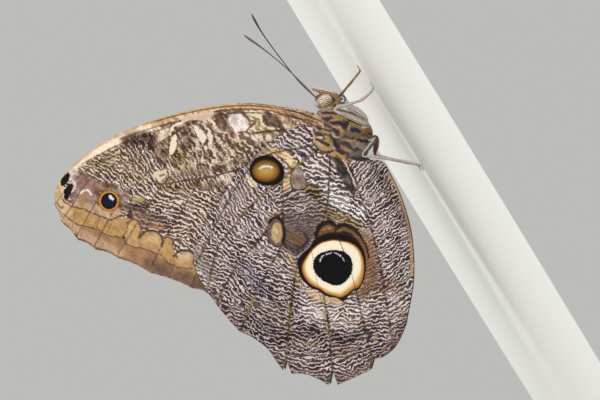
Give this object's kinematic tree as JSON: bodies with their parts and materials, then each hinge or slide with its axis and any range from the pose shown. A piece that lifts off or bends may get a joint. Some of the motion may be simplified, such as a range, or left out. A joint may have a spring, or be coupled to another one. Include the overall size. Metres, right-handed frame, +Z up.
{
  "type": "owl butterfly",
  "caption": "Owl butterfly at rest with its wings closed over its back, showing the ringed eyespot and fine zebra bands of the undersides, standing on its middle and hind feet.",
  "frame": {"origin": "the middle of the box that the whole insect fills, at the level of the floor that its feet stand on", "axes": "+X towards the head along the body, +Y towards the insect's left side, +Z up"},
  "size_m": [0.1012, 0.0198, 0.0921],
  "materials": {
    "body_fur": "dense hair-like scales, matt",
    "eye": "smooth, glossy compound eye",
    "palp_scales": "close scales, matt",
    "cuticle": "bare dark cuticle, satin",
    "antenna": "finely ringed cuticle, satin",
    "leg_scales": "thin scales over cuticle, satin",
    "forewing_scales": "thin membrane under matt scales",
    "hindwing_scales": "thin membrane under matt scales"
  },
  "bodies": {
    "root": {"abdomen": "body_fur", "antenna_left": "antenna", "antenna_right": "antenna", "eye_left": "eye", "eye_right": "eye", "foreleg_left": "leg_scales", "foreleg_right": "leg_scales", "forewing_left": "forewing_scales", "forewing_right": "forewing_scales", "head": "body_fur", "hindleg_left": "leg_scales", "hindleg_right": "leg_scales", "hindwing_left": "hindwing_scales", "hindwing_right": "hindwing_scales", "midleg_left": "leg_scales", "midleg_right": "leg_scales", "palp_left": "palp_scales", "palp_right": "palp_scales", "proboscis": "cuticle", "thorax": "body_fur"}
  },
  "joints": []
}
